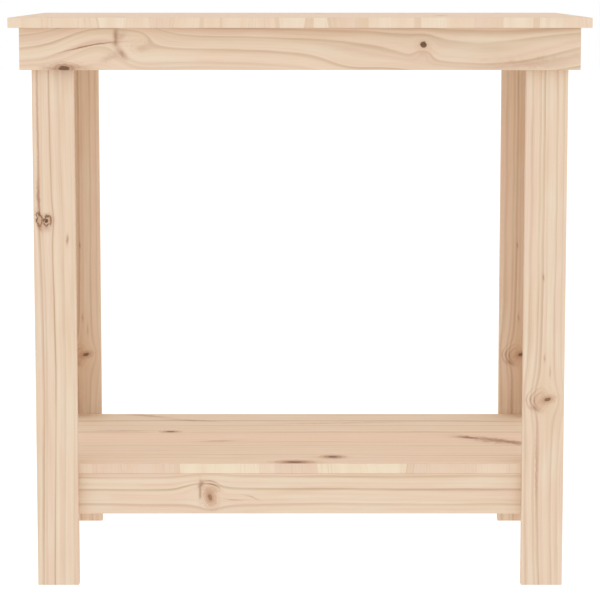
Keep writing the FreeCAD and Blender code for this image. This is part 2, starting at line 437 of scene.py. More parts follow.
# %% [markdown]
# ## Colours of clear wood
#
# Freshly planed pine isn't one colour. It drifts from straw to pink along a board, some stretches are
# paler or more tan, and close fibres give it a grain that is felt more than seen. A picture of pine would
# repeat from board to board. Here the colour is worked out in layers instead: each layer is a soft mask
# that mixes one more colour in, the broad ones first and the fine ones last.

# %% Colours of clear wood
PALE_PATCHES = 0.45
TAN_BANDS = 0.5
FINE_LINE_DEPTH = 0.30
FIBRE_DEPTH = 0.18


def wood_colours(along, across, through, flow, stock, lines=()):
    """The clear wood, before knots and marks."""
    place = (along, across, through)
    radius = ring_radius(along, across, through, flow, stock)
    fade = 0.5 + noise(place, (150.0, 22.0, 22.0), stock.seed + 9.0).rise(0.25, 0.75) * 0.5
    drift = noise((along, radius, radius), (420.0, 8.0, 8.0), stock.seed + 2.0).rise(0.25, 0.75)
    colour = mix(drift, STRAW, BLUSH)
    pale = noise(place, (95.0, 26.0, 26.0), stock.seed + 50.0, 1.0).rise(0.48, 0.72)
    colour = mix(pale * PALE_PATCHES, colour, PALE)
    band = noise((along, radius, radius), (160.0, 11.0, 11.0), stock.seed + 13.0, 1.0).rise(0.48, 0.78)
    colour = mix(band * TAN_BANDS, colour, TAN)
    close = fine_lines(along, radius, stock).rise(0.35, 0.85)
    colour = mix(close * (FINE_LINE_DEPTH * stock.contrast), colour, LATE_WOOD)
    rings = ring_lines(radius, fade, stock) * stock.contrast
    rings = rings.most(strong_lines(radius, fade, lines, stock))
    colour = mix(rings.least(1.0), colour, LATE_WOOD)
    fibres = noise(place, (60.0, 0.9, 0.9), stock.seed + 30.0, 3.0, 0.6)
    colour = mix(fibres.rise(0.3, 0.9) * FIBRE_DEPTH, colour, LATE_WOOD)
    return colour, rings, fibres


print("clear wood ready")

# %% [markdown]
# ## Knots and marks
#
# A knot is the foot of a branch, cut across. It has a nearly black heart, often a rim of bark that broke
# up as the board dried, and red resin soaked into the wood round it. Marks are resin streaks, small
# cracks and bruises. Both are short formulas, ellipses and streaks. Noise pushes their outlines about,
# because a clean ellipse looks drawn, and it pushes a loose, barky knot more than a sound one.

# %% Knots and marks
KNOT_WOBBLE = 7.0
MARK_WOBBLE = 3.0
MARK_STAIN = 0.32
MARK_DEPTH = 0.9


def add_knot(colour, along, across, rough, knot):
    """A branch seen end on: a dark heart, a broken rim of bark, and rings that fade into the wood."""
    rim = knot_distance(along, across, knot) * (0.72 + rough * 0.56)
    halo = (1.0 - rim.rise(0.8, 3.4)) * knot.halo
    wave = rim.math("SINE", rim * 6.0)
    ripple = wave.rise(0.1, 1.0) * rim.rise(0.9, 1.3) * (1.0 - rim.rise(1.5, 4.4))
    bark = (rim - 1.40).hill(0.38) * rough.rise(0.28, 0.52)
    heart = (1.0 - rim.rise(0.72, 1.1)) * (0.84 + rough * 0.16) * knot.heart
    colour = mix(halo, colour, KNOT_RED)
    colour = mix(ripple * (0.55 * knot.halo), colour, LATE_WOOD)
    colour = mix(bark * knot.bark, colour, KNOT_HEART)
    return mix(heart, colour, KNOT_HEART), heart


def add_features(colour, along, across, through, knots, marks, stock):
    """Knots and marks over the clear wood. Gives the colour and how dark each point became."""
    dark = along * 0.0
    place = (along, across, through)
    rough = noise(place, (3.4, 3.4, 3.4), stock.seed + 40.0, 3.0, 0.55)
    push_along = (noise(place, (5.0, 5.0, 5.0), stock.seed + 44.0, 1.0) - 0.5) * KNOT_WOBBLE
    push_across = (noise(place, (5.0, 5.0, 5.0), stock.seed + 48.0, 1.0) - 0.5) * KNOT_WOBBLE
    ragged = (noise(place, (11.0, 11.0, 11.0), stock.seed + 52.0, 2.0) - 0.5) * MARK_WOBBLE
    for knot in knots:
        loose = 0.15 + knot.bark
        its_along = along + push_along * loose
        its_across = across + push_across * loose
        colour, heart = add_knot(colour, its_along, its_across, rough, knot)
        dark = dark.most(heart)
    for mark in marks:
        strength = (mark_strength(along, across, ragged, mark) * (0.55 + rough * 0.9)).least(1.0)
        colour = mix(strength.root() * MARK_STAIN, colour, KNOT_RED)
        colour = mix(strength * MARK_DEPTH, colour, MARK_BROWN)
        dark = dark.most(strength)
    return colour, dark


print("knots and marks ready")

# %% [markdown]
# ## The planed surface
#
# The bench is bare: planed and sanded, with no oil or paint. Its sheen is weak, and a shallow bump lets
# fibres and rings catch the light. The sawn ends are darker than the faces, because their open pores
# swallow light. Each board is measured from its own low corner, so that its knots can be stated as a
# maker would state them.

# %% The planed surface
RELIEF_DEPTH = 0.0004
PLANED_ROUGHNESS = 0.66
PLANED_SHEEN = 0.15
BOARD_END_DEPTH = 0.5


def relief_of(fibres, rings, dark):
    """Fibres and late wood stand a little proud of the surface, and knots and marks sink."""
    return fibres * 0.5 + rings * 0.4 - dark * 0.6


def finish_wood(shader, start, colour, relief):
    """Joins a wood colour and its relief to the shader, with the soft sheen of planed pine."""
    bump = start.node("ShaderNodeBump", None, {"Strength": 0.35, "Distance": RELIEF_DEPTH, "Height": relief})
    connect(shader, "Base Color", colour)
    connect(shader, "Normal", bump)
    connect(shader, "Roughness", PLANED_ROUGHNESS + relief * 0.12)
    shader.inputs["Specular IOR Level"].default_value = PLANED_SHEEN


def faces_along(start, axis):
    """1 on surfaces that look along an axis, such as a board's sawn ends, and 0 on the others."""
    normal = start.node("ShaderNodeTexCoord", None, None, output=1)
    part = start.node("ShaderNodeSeparateXYZ", None, {0: normal}, output=axis)
    return part.size().rise(0.6, 0.85)


def board_coordinates(start, low, axes):
    """Along, across and through in millimetres from a board's low corner."""
    wires = []
    for axis in axes:
        metres = start.node("ShaderNodeSeparateXYZ", None, {0: start}, output=axis)
        wires.append((metres - low[axis]) * MM)
    return wires


def pine(name, low, axes, stock, knots=(), marks=(), bends=(), lines=()):
    """A pine material for one board."""
    material, shader, start = new_material(name)
    along, across, through = board_coordinates(start, low, axes)
    flow = bent_by_features(along, across, knots, bends)
    colour, rings, fibres = wood_colours(along, across, through, flow, stock, lines)
    colour, dark = add_features(colour, along, across, through, knots, marks, stock)
    colour = mix(faces_along(start, axes[0]) * BOARD_END_DEPTH, colour, END_GRAIN)
    finish_wood(shader, start, colour, relief_of(fibres, rings, dark))
    return material


print("pine ready")

# %% [markdown]
# ## Boards of the frame
#
# The legs, aprons and rails are sixteen boards of 15 mm pine. They are 58 mm wide, apart from the side
# boards of the legs, which are cut to 43 mm so that a leg measures 58 mm both ways. Each board keeps its
# solid, with its holes and eased edges. What differs is the piece of tree that it came from. The boards
# that show most are described one by one, and the first of them is the calmest: one small dark knot a
# third of the way up, a pale red one beside it, and short curved lines that cup the pair. The rear legs
# share its figure.

# %% Right leg
X, Y, Z = 0, 1, 2
UPRIGHT_FACE = (Z, X, Y)
UPRIGHT_SIDE = (Z, Y, X)
LEVEL_FACE = (X, Z, Y)
LEVEL_SIDE = (Y, Z, X)

RIGHT_LEG = dict(
    axes=UPRIGHT_FACE,
    stock=Stock(pith_across=-70, pith_through=60, ring=8.5, wander=9, contrast=0.45, seed=3),
    knots=[
        Knot(266, 25, 6, 0.1, stretch=1, tilt=0.1, heart=0, halo=0.32, bark=0),
        Knot(266.5, 34.5, 4, 13, stretch=1.3, tilt=1.3, heart=0.8, halo=0.6, bark=0.1, oval=0.3),
    ],
    marks=[
        Mark(439, 27, 4, 1, dark=0.5),
        Mark(325, 30, 5, 1.2, dark=0.34),
        Mark(306, 38, 8, 1, dark=0.3),
        Mark(254, 17, 4, 5, dark=0.5, slope=-0.5, curve=0.03),
        Mark(266, 5, 12, 1, dark=0.34, curve=0.03),
        Mark(266, 10.5, 11, 1.2, dark=0.5, curve=0.045),
        Mark(265, 16, 10, 1.1, dark=0.48, curve=0.06),
        Mark(170, 20, 62, 1.3, dark=0.32),
    ],
    bends=[Bend(120, 25, 130, 60, -4)],
    lines=[Line(9, 1.3, 0.5), Line(26, 1.5, 0.62), Line(43, 1.3, 0.5), Line(52, 1, 0.3)],
)
print("right leg:", len(RIGHT_LEG["knots"]), "knots and", len(RIGHT_LEG["marks"]), "marks")

# %% [markdown]
# ## Front apron
#
# The apron is the board that shows most. A blind knot swells its grain at the left, beside the dark streak
# of a buried branch. A small tight knot sits right of the middle, and towards the right end the grain dips
# to the lower edge. A bend lifts or lowers the rings over a stretch of board, which a knot alone can't do.

# %% Front apron
FRONT_APRON = dict(
    axes=LEVEL_FACE,
    stock=Stock(pith_across=-70, pith_through=60, ring=11, wander=7, contrast=0.4, seed=11),
    knots=[
        Knot(164, 36, 6, 17, stretch=1.2, heart=0, halo=0.1, bark=0),
        Knot(555.5, 35, 4.9, 6, stretch=1.3, halo=0.2, bark=0, oval=0.03),
        Knot(61.5, 2.4, 6.2, 4, stretch=1.6, halo=0.6, bark=0.35, oval=0.4),
    ],
    bends=[
        Bend(112, 45, 62, 45, 27),
        Bend(455, 5, 45, 20, -10),
        Bend(640, 5, 190, 42, -38),
        Bend(556, 22, 13, 11, 9),
    ],
    marks=[
        Mark(95, 33.5, 34, 0.9, dark=0.95, slope=0.19, curve=-0.0016),
        Mark(133, 45, 3, 11, dark=0.62),
        Mark(140, 47, 6, 5, dark=0.22),
        Mark(141, 22, 6, 4, dark=0.5, slope=-0.6),
        Mark(124, 17, 10, 4, dark=0.2, slope=0.35),
        Mark(42, 2.5, 12, 2.2, dark=0.3),
        Mark(84, 3.5, 14, 2.6, dark=0.22),
        Mark(700, 8, 62, 7, dark=0.16, slope=0.06),
        Mark(556, 24, 9, 4, dark=0.08),
    ],
    lines=[
        Line(12, 1.6, 0.3),
        Line(29, 1.6, 0.65),
        Line(44, 4, 0.28),
        Line(46, 1.5, 0.65),
        Line(56, 3.5, 0.25),
        Line(57, 1.4, 0.6),
        Line(62.5, 1.5, 0.65),
    ],
)
print("front apron:", len(FRONT_APRON["knots"]), "knots and", len(FRONT_APRON["marks"]), "marks")

# %% [markdown]
# ## Front left leg
#
# Two thirds of the way up, a pocket of loose bark at the board's edge sits next to a small knot with a
# dark rim, and dark streaks run on above and below them. A thin rim is made from two knots, one on the
# other: a barky one without a heart, and a tiny heart of its own.

# %% Front left leg
LEFT_LEG = dict(
    axes=UPRIGHT_FACE,
    stock=Stock(pith_across=-70, pith_through=60, ring=9.5, wander=5, contrast=0.4, seed=7),
    knots=[
        Knot(520.5, 8.2, 4.5, 3, stretch=1.5, tilt=-0.15, heart=0, halo=0.3, bark=1, oval=0.42),
        Knot(518.6, 19.5, 4.1, 4.5, tilt=0.2, heart=0, bark=0.9, oval=0.1),
        Knot(518.4, 18.2, 3, 0.1, stretch=1, tilt=0.2, halo=0, bark=0, oval=0.1),
    ],
    bends=[Bend(300, 25, 200, 60, 5)],
    marks=[
        Mark(492, 47, 6, 1.7, dark=0.62),
        Mark(650, 7.4, 105, 1, dark=0.3),
        Mark(551, 7.4, 22, 1.8, dark=0.6),
        Mark(509, 8.6, 5, 1.8, dark=0.6, slope=-0.3),
        Mark(507, 18, 4, 5.5, dark=0.2),
        Mark(520, 23.6, 4.5, 1.8, dark=0.55),
        Mark(521, 12.6, 3.5, 1.5, dark=0.4),
    ],
    lines=[Line(8, 1.4, 0.65), Line(24, 0.9, 0.95), Line(38, 1.4, 0.35), Line(52, 1.4, 0.3)],
)
print("left leg:", len(LEFT_LEG["knots"]), "knots and", len(LEFT_LEG["marks"]), "marks")

# %% [markdown]
# ## Lower front rail
#
# A third of the way along, this rail has a tilted knot in a broad red halo, with short dark lines that fan
# out of it. The halo is wider than the knot's own, so two more knots without hearts add to it.

# %% Lower front rail
LOWER_RAIL = dict(
    axes=LEVEL_FACE,
    stock=Stock(pith_across=-70, pith_through=60, ring=10, wander=9, contrast=0.4, seed=19),
    knots=[
        Knot(230, 35, 4, 0.1, stretch=1, heart=0, halo=0.45, bark=0, oval=0.3),
        Knot(228.5, 23.5, 4.2, 13, stretch=1, tilt=1.9, heart=0.75, halo=0.7, bark=0.1),
        Knot(230, 20.5, 6, 0.1, stretch=1, tilt=1.9, heart=0, halo=0.26, bark=0, oval=0.15),
    ],
    bends=[Bend(208, 36, 22, 14, 6)],
    marks=[
        Mark(216, 42, 4, 3.5, dark=0.6, slope=0.5),
        Mark(214.5, 33, 1.6, 10, dark=0.55),
        Mark(232, 42, 9, 1, dark=0.7, slope=-0.35, curve=-0.02),
        Mark(230, 47, 10, 1, dark=0.55, slope=-0.2, curve=-0.02),
        Mark(262, 20, 13, 0.9, dark=0.3, slope=-0.05, curve=0.004),
        Mark(288, 24, 9, 0.9, dark=0.28, slope=-0.35, curve=-0.01),
    ],
    lines=[Line(14, 1.5, 0.45), Line(35, 1.5, 0.8), Line(53, 1.5, 0.55)],
)
print("lower rail:", len(LOWER_RAIL["knots"]), "knots and", len(LOWER_RAIL["marks"]), "marks")

# %% [markdown]
# ## Dressing the boards
#
# A solid arrives in a plain colour. Each described board gets a material of its own, which could also be
# one shared material with a picture per board, but a formula per board keeps every line sharp.

# %% Dress the described boards
described = {
    "front_apron": FRONT_APRON,
    "front_left_leg_face": LEFT_LEG,
    "front_right_leg_face": RIGHT_LEG,
    "rear_left_leg_face": RIGHT_LEG,
    "rear_right_leg_face": RIGHT_LEG,
    "lower_front_rail": LOWER_RAIL,
}


def dress(node, material):
    """Gives a node one material in place of the plain one that it came with."""
    mesh = nodes[node].data
    mesh.materials.clear()
    mesh.materials.append(material)


for node, look in described.items():
    low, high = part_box(node)
    dress(node, pine(f"pine_{node}", low, **look))
print(len(described), "boards described by hand")

# %% [markdown]
# ## Boards that show less
#
# The other boards are seen from the side, from behind or from below. A loop deals each one a pith and a
# ring width, and some of the wide ones a knot. The values come from the board's place in the list,
# multiplied by the fraction of the golden ratio: that spreads them evenly without a random generator, so
# the bench is the same each time.

# %% Boards that show less
GOLDEN_FRACTION = 0.618

plain_axes = {
    "leg_side": UPRIGHT_SIDE,
    "rear_apron": LEVEL_FACE,
    "left_apron": LEVEL_SIDE,
    "right_apron": LEVEL_SIDE,
    "rear_rail": LEVEL_FACE,
    "left_rail": LEVEL_SIDE,
    "right_rail": LEVEL_SIDE,
    "front_top_cleat": LEVEL_FACE,
    "rear_top_cleat": LEVEL_FACE,
    "left_top_cleat": LEVEL_SIDE,
    "right_top_cleat": LEVEL_SIDE,
    "shelf_cleat": LEVEL_FACE,
}
plain_boards = {
    node: axes for node in sorted(nodes) for ending, axes in plain_axes.items() if node.endswith(ending)
}
for number, (node, axes) in enumerate(plain_boards.items()):
    low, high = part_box(node)
    length = (high[axes[0]] - low[axes[0]]) * MM
    width = (high[axes[1]] - low[axes[1]]) * MM
    turn = number * GOLDEN_FRACTION % 1.0
    stock = Stock(
        pith_across=width * (turn * 1.6 - 0.3),
        pith_through=45.0 + 50.0 * turn,
        ring=8.0 + 4.0 * turn,
        wander=12.0,
        contrast=0.6,
        seed=23.0 + number,
    )
    knot = Knot(length * (0.2 + 0.6 * turn), width * (0.3 + 0.4 * turn), 3.0 + 2.0 * turn, swirl=9.0)
    has_knot = number % 3 != 1 and width > 30.0
    dress(node, pine(f"pine_{node}", low, axes, stock, [knot] if has_knot else []))
print(len(plain_boards), "other boards")

# %% [markdown]
# ## Edge-glued panels
#
# The worktop and the shelf are staves of pine glued side by side. Staves follow a rule, so a small
# Geometry Nodes tree makes them: a row of points, one rounded block on each, and a random number and
# a place stored with each block, so that the pine can differ from stave to stave. A hair's breadth
# between the staves is the glue line. Every tree here is begun, ended and run in the same way, so three
# helpers come first. The last one turns the result into a plain mesh and drops the modifier, because
# the frame's checks and the export work on plain meshes.

# %% Node tree helpers
def new_tree(name, numbers):
    """A tree with a geometry input, named number inputs and a geometry output."""
    tree = bpy.data.node_groups.new(name, "GeometryNodeTree")
    tree.interface.new_socket("Geometry", in_out="INPUT", socket_type="NodeSocketGeometry")
    for number in numbers:
        tree.interface.new_socket(number, in_out="INPUT", socket_type="NodeSocketFloat")
    tree.interface.new_socket("Geometry", in_out="OUTPUT", socket_type="NodeSocketGeometry")
    entry = tree.nodes.new("NodeGroupInput")
    exit_node = tree.nodes.new("NodeGroupOutput")
    inputs = {socket.name: Wire(tree, socket) for socket in entry.outputs if socket.name}
    return tree, inputs, exit_node


def finish_tree(tree, exit_node, geometry, material):
    """Ends a tree: real geometry instead of instances, and its material."""
    real = geometry.node("GeometryNodeRealizeInstances", None, {0: geometry})
    painted = real.node("GeometryNodeSetMaterial", None, {"Geometry": real, "Material": material})
    tree.links.new(painted.socket, exit_node.inputs[0])


def run_tree(name, tree, numbers, start_mesh=None):
    """Runs a tree with the given numbers and gives its result as a plain object."""
    base = bpy.data.objects.new(name, start_mesh or bpy.data.meshes.new(name))
    scene.collection.objects.link(base)
    modifier = base.modifiers.new("build", "NODES")
    modifier.node_group = tree
    for socket in tree.interface.items_tree:
        if socket.in_out == "INPUT" and socket.name in numbers:
            modifier[socket.identifier] = numbers[socket.name]
    bpy.context.view_layer.update()
    evaluated = base.evaluated_get(bpy.context.evaluated_depsgraph_get())
    mesh = bpy.data.meshes.new_from_object(evaluated)
    bpy.data.objects.remove(base)
    mesh.name = name
    piece = bpy.data.objects.new(name, mesh)
    scene.collection.objects.link(piece)
    print(f"{name}: {len(mesh.vertices)} points, {len(mesh.polygons)} faces")
    return piece


print("tree helpers ready")

# %% [markdown]
# ## A rounded block
#
# A stave is a sawn block whose edges are broken with sandpaper. A Bevel modifier could round them, but it
# can't work inside a tree. So a cube of eight points a side is bent instead: its outermost points are
# pulled onto a small ball at each corner, and the corners are then moved apart to the block's size.

# %% Rounded block
CUBE_POINTS = 8


def rounded_block(source, size, radii):
    """A block of the given size, centred, with its edges rounded, by its own radius along each axis."""
    cube = source.node(
        "GeometryNodeMeshCube",
        None,
        {"Size": (2, 2, 2), **{f"Vertices {axis}": CUBE_POINTS for axis in "XYZ"}},
    )
    inner = 1.0 / (CUBE_POINTS - 1)
    position = source.node("GeometryNodeInputPosition")
    side = position.vector("SIGN")
    reach = position.vector("ABSOLUTE").vector("SUBTRACT", (inner, inner, inner))
    ball = reach.vector("MULTIPLY", side).vector("NORMALIZE").vector("MULTIPLY", radii)
    corner = size.vector("MULTIPLY", (0.5, 0.5, 0.5)).vector("SUBTRACT", radii)
    place = ball.vector("ADD", corner.vector("MULTIPLY", side))
    return source.node("GeometryNodeSetPosition", None, {"Geometry": cube, "Position": place})


print("block ready")

# %% [markdown]
# ## A row of staves
#
# Staves of one width stand side by side, so a line of points and one rounded block on each make the
# panel. The tree's inputs are the sizes that a joiner would ask for. Two numbers are stored with each
# block, its middle and a random number with a fixed seed, and the pine starts afresh on each stave.

# %% Stave tree
def stave_tree(material):
    """Staves along X, side by side along Y."""
    names = ["Length", "Width", "Thickness", "Staves", "Gap", "End radius", "Joint radius"]
    names += ["Middle height", "Seed"]
    tree, value, exit_node = new_tree("staves", names)
    length = value["Length"]
    pitch = value["Width"] / value["Staves"]
    end_radius = value["End radius"]
    size = length.node(
        "ShaderNodeCombineXYZ", None, {0: length, 1: pitch - value["Gap"], 2: value["Thickness"]}
    )
    radii = length.node(
        "ShaderNodeCombineXYZ", None, {0: end_radius, 1: value["Joint radius"], 2: end_radius}
    )
    first_y = (pitch - value["Width"]) * 0.5
    first = length.node("ShaderNodeCombineXYZ", None, {1: first_y, 2: value["Middle height"]})
    step = length.node("ShaderNodeCombineXYZ", None, {1: pitch})
    row = length.node(
        "GeometryNodeMeshLine", None, {"Count": value["Staves"], "Start Location": first, "Offset": step}
    )
    block = rounded_block(length, size, radii)
    stored = row.node("GeometryNodeInstanceOnPoints", None, {"Points": row, "Instance": block})
    position = length.node("GeometryNodeInputPosition")
    middle_y = position.node("ShaderNodeSeparateXYZ", None, {0: position}, output=1)
    chance = length.node(
        "FunctionNodeRandomValue",
        {"data_type": "FLOAT"},
        {2: 0.0, 3: 1.0, "Seed": value["Seed"]},
        output=1,
    )
    for name, field in (("stave_middle", middle_y), ("stave_chance", chance)):
        stored = stored.node(
            "GeometryNodeStoreNamedAttribute",
            {"data_type": "FLOAT", "domain": "INSTANCE"},
            {"Geometry": stored, "Name": name, "Value": field},
        )
    finish_tree(tree, exit_node, stored, material)
    return tree


print("stave tree ready")

# %% [markdown]
# ## Pine of the panels
#
# Each stave is its own slice of tree, so its number moves the rings and tints the wood. The front and
# rear edges show something else: there the panel is cut across short finger-jointed blocks, and each
# block is a little paler, pinker or stripier than the next. A colour ramp with hard steps lays the
# blocks out along X, and it only shows on faces that look forwards or backwards.

# %% Edge blocks
YELLOW = (0.826, 0.694, 0.522)
CREAM = (0.815, 0.675, 0.525)
PEACH = (0.795, 0.630, 0.480)
PINK = (0.770, 0.585, 0.450)
PALE_TAN = (0.735, 0.560, 0.410)
MID_EDGE = 7.0
SLANT_CLOUD = 70.0
MOST_SLANT = 0.9
FAINT_STRIPES = 0.06
STRONG_STRIPES = 0.26
TAN_CLOUDS = 0.35


def edge_blocks(start, along, through, length, blocks, seed):
    """Colours of the blocks along a panel's edge, from (where it ends in mm, its tone) of each."""
    slant = (noise((along,) * 3, (SLANT_CLOUD,) * 3, seed + 8.0, 0.0) - 0.5) * MOST_SLANT
    ramp = start.node("ShaderNodeValToRGB", None, {0: (along + (through - MID_EDGE) * slant) / length})
    stops = ramp.socket.node.color_ramp
    stops.interpolation = "CONSTANT"
    begin = 0.0
    for number, (end, tone) in enumerate(blocks):
        stop = stops.elements[0] if number == 0 else stops.elements.new(begin / length)
        stop.color = (*tone, 1.0)
        begin = end
    stops.elements.remove(stops.elements[-1])
    leaning = along + through * slant
    stripes = noise((leaning, leaning, through), (3.5, 3.5, 60.0), seed, 2.0)
    clouds = noise((leaning, leaning, through), (30.0, 30.0, 60.0), seed + 3.0, 1.0)
    stripy = noise((along,) * 3, (45.0,) * 3, seed + 12.0, 0.0).rise(0.42, 0.62)
    stripes = stripes.rise(0.45, 0.8) * (FAINT_STRIPES + stripy * STRONG_STRIPES)
    colour = mix(stripes, ramp, LATE_WOOD)
    return mix(clouds.rise(0.35, 0.75) * TAN_CLOUDS, colour, TAN)


print("edge blocks ready")

# %% [markdown]
# ## Pine that starts afresh on each stave
#
# The board pattern is used again, but each stave's stored numbers slide it far along and across the tree,
# so that neighbours never match at the glue line. A tint pulls the whole panel towards straw or pink.

# %% Panel pine
PANEL_END_DEPTH = 0.45
SLIDE_ALONG = 4000.0
SLIDE_ACROSS = 60.0
SLIDE_THROUGH = 40.0
PITH_BESIDE = 40.0
PITH_BELOW = 35.0
LEAST_TINT = 0.25


def panel_pine(name, low, length, stock, knots, marks, blocks, tints):
    """Pine for a panel of staves that run along X."""
    material, shader, start = new_material(name)
    along, across, through = board_coordinates(start, low, (X, Y, Z))
    middle = start.node("ShaderNodeAttribute", {"attribute_name": "stave_middle"}, None, output=2)
    chance = start.node("ShaderNodeAttribute", {"attribute_name": "stave_chance"}, None, output=2)
    own_along = along + chance * SLIDE_ALONG
    flow = bent_by_features(along, across, knots, [])
    own_across = flow - (middle - low[Y]) * MM + chance * SLIDE_ACROSS + PITH_BESIDE
    second = chance.math("FRACT", chance * 37.0)
    own_through = through + second * SLIDE_THROUGH + PITH_BELOW
    colour, rings, fibres = wood_colours(own_along, own_across, own_through, own_across, stock)
    colour = mix(LEAST_TINT + second * LEAST_TINT, colour, mix(second, *tints))
    colour, dark = add_features(colour, along, across, through, knots, marks, stock)
    edge = edge_blocks(start, along, through, length, blocks, stock.seed)
    colour = mix(faces_along(start, Y), colour, edge)
    colour = mix(faces_along(start, X) * PANEL_END_DEPTH, colour, END_GRAIN)
    finish_wood(shader, start, colour, relief_of(fibres, rings, dark))
    return material


print("panel pine ready")

# %% [markdown]
# ## Building a panel
#
# A panel takes its sizes from the box of the plain solid that it replaces, so it can't grow past it. The
# number of staves is the one that brings them nearest to the usual width.

# %% Build a panel
GLUE_LINE = 0.00008
END_EASE = 0.001
JOINT_EASE = 0.00012
STAVE_WIDTH = 0.083


def build_panel(name, node, material, seed):
    """A panel of staves in the place of a plain one. Gives how many staves it has."""
    low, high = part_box(node)
    width = high[Y] - low[Y]
    staves = round(width / STAVE_WIDTH)
    numbers = {
        "Length": high[X] - low[X],
        "Width": width,
        "Thickness": high[Z] - low[Z],
        "Staves": float(staves),
        "Gap": GLUE_LINE,
        "End radius": END_EASE,
        "Joint radius": JOINT_EASE,
        "Middle height": (low[Z] + high[Z]) / 2,
        "Seed": float(seed),
    }
    piece = run_tree(name, stave_tree(material), numbers)
    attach(piece, "root")
    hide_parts(node)
    return staves


print("panels are built from staves about", STAVE_WIDTH * MM, "mm wide")

# %% [markdown]
# ## Worktop
#
# The worktop is pale and quiet, with a few small knots. Its long front edge is a row of short blocks, from
# cream to pink, with a narrow tan band where some of them meet. They are stated by the place where each
# one ends, in millimetres from the left.

# %% Worktop
TOP_STOCK = Stock(pith_across=0, pith_through=0, ring=7.5, wander=16, contrast=1, seed=41)
TOP_KNOTS = [
    Knot(150, 62, 4, 9, tilt=0.3, heart=0.9, bark=0.5),
    Knot(604, 206, 5.5, 13, stretch=1.6, tilt=0.9, heart=0.85, halo=0.6, bark=0.2),
    Knot(428, 378, 3.4, 9, stretch=2.2, tilt=0.1, halo=0.4, bark=0.8),
    Knot(262, 296, 2.4, 6, heart=0.8, halo=0.4, bark=0),
    Knot(706, 452, 4.4, 10, stretch=1.8, tilt=0.5, heart=0.9, bark=0.3),
]
TOP_MARKS = [
    Mark(330, 128, 22, 1.6, dark=0.5, slope=0.03),
    Mark(540, 318, 30, 1.4, dark=0.4, slope=-0.02),
]
TOP_BLOCKS = [
    *[(16, CREAM), (119, PEACH), (123, PALE_TAN), (157, CREAM), (193, PEACH), (226, PINK)],
    *[(262, PEACH), (267, PALE_TAN), (288, PEACH), (292, PALE_TAN), (363, PEACH), (369, PALE_TAN)],
    *[(405, CREAM), (416, PALE_TAN), (437, CREAM), (450, PALE_TAN), (472, PINK), (491, PALE_TAN)],
    *[(527, CREAM), (556, PEACH), (563, PALE_TAN), (598, CREAM), (635, PEACH), (676, PINK)],
    *[(716, CREAM), (726, PALE_TAN), (757, CREAM), (800, PEACH)],
]
TOP_TINTS = (STRAW, BLUSH)

top_low, top_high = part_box("top_panel")
top_length = (top_high[X] - top_low[X]) * MM
top_pine = panel_pine(
    "pine_worktop", top_low, top_length, TOP_STOCK, TOP_KNOTS, TOP_MARKS, TOP_BLOCKS, TOP_TINTS
)
print("worktop of", build_panel("worktop", "top_panel", top_pine, seed=5), "staves")

# %% [markdown]
# ## Shelf
#
# The shelf is the same make in warmer wood with wider, stronger rings. Two dark knots lie close together
# at the middle of its front edge, and a slanting dark streak crosses its right end. Its edge has longer
# blocks than the worktop's.

# %% Shelf
SHELF_STOCK = Stock(pith_across=0, pith_through=0, ring=12, wander=22, contrast=1.7, seed=57)
SHELF_KNOTS = [
    Knot(349, 12, 9, 14, stretch=2.2, heart=0.9, halo=0.7, bark=0.2, oval=0.25),
    Knot(403, 52, 7, 14, heart=0.9, halo=0.6, bark=0.3, oval=0.1),
    Knot(160, 254, 6, 12, stretch=2.4, heart=0.8, halo=0.6, bark=0.2),
]
SHELF_MARKS = [
    Mark(349, 12, 22, 9, dark=0.4),
    Mark(403, 52, 14, 9, dark=0.25),
    Mark(608, 205, 15, 8, dark=1, slope=-0.4),
    Mark(648, 180, 24, 13, dark=0.75, slope=-0.6),
    Mark(676, 164, 20, 10, dark=0.6, slope=-0.5),
    Mark(640, 184, 46, 22, dark=0.14, slope=-0.6),
    Mark(118, 392, 26, 7, dark=0.42, slope=-0.45),
    Mark(188, 352, 34, 5, dark=0.32, slope=-0.25),
    Mark(235, 176, 22, 5, dark=0.28, slope=0.15),
    Mark(90, 262, 40, 5, dark=0.2),
    Mark(420, 330, 90, 5, dark=0.18, slope=0.1),
]
SHELF_BLOCKS = [
    *[(60, PEACH), (176, PINK), (186, PALE_TAN), (295, YELLOW), (318, PEACH), (379, PINK)],
    *[(505, YELLOW), (515, PALE_TAN), (606, PINK), (712, PEACH)],
]
SHELF_TINTS = ((1.000, 0.860, 0.660), (1.000, 0.750, 0.580))

shelf_low, shelf_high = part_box("shelf_panel")
shelf_length = (shelf_high[X] - shelf_low[X]) * MM
shelf_pine = panel_pine(
    "pine_shelf", shelf_low, shelf_length, SHELF_STOCK, SHELF_KNOTS, SHELF_MARKS, SHELF_BLOCKS, SHELF_TINTS
)
print("shelf of", build_panel("shelf", "shelf_panel", shelf_pine, seed=8), "staves")

# %% [markdown]
# ## Screws
#
# Every screw is driven from inside, and only its head shows, seen from behind or below. The plain
# solids say where each one is: joining their corners up gives one island per screw, the island's long
# side is its direction, and its wide end is its head. A Geometry Nodes tree then puts one finished
# screw on each point: a countersunk head with a cross recess, a shank and a helical thread.

# %% Where the fasteners are
def islands(node):
    """The corners of each separate solid in a node."""
    copy = bmesh.new()
    copy.from_mesh(nodes[node].data)
    bmesh.ops.remove_doubles(copy, verts=copy.verts, dist=1e-6)
    left = set(copy.verts)
    found = []
    while left:
        group = set()
        edge_of_group = {left.pop()}
        while edge_of_group:
            vert = edge_of_group.pop()
            group.add(vert)
            near = {edge.other_vert(vert) for edge in vert.link_edges} - group
            edge_of_group |= near
        left -= group
        found.append([vert.co.copy() for vert in group])
    copy.free()
    return found


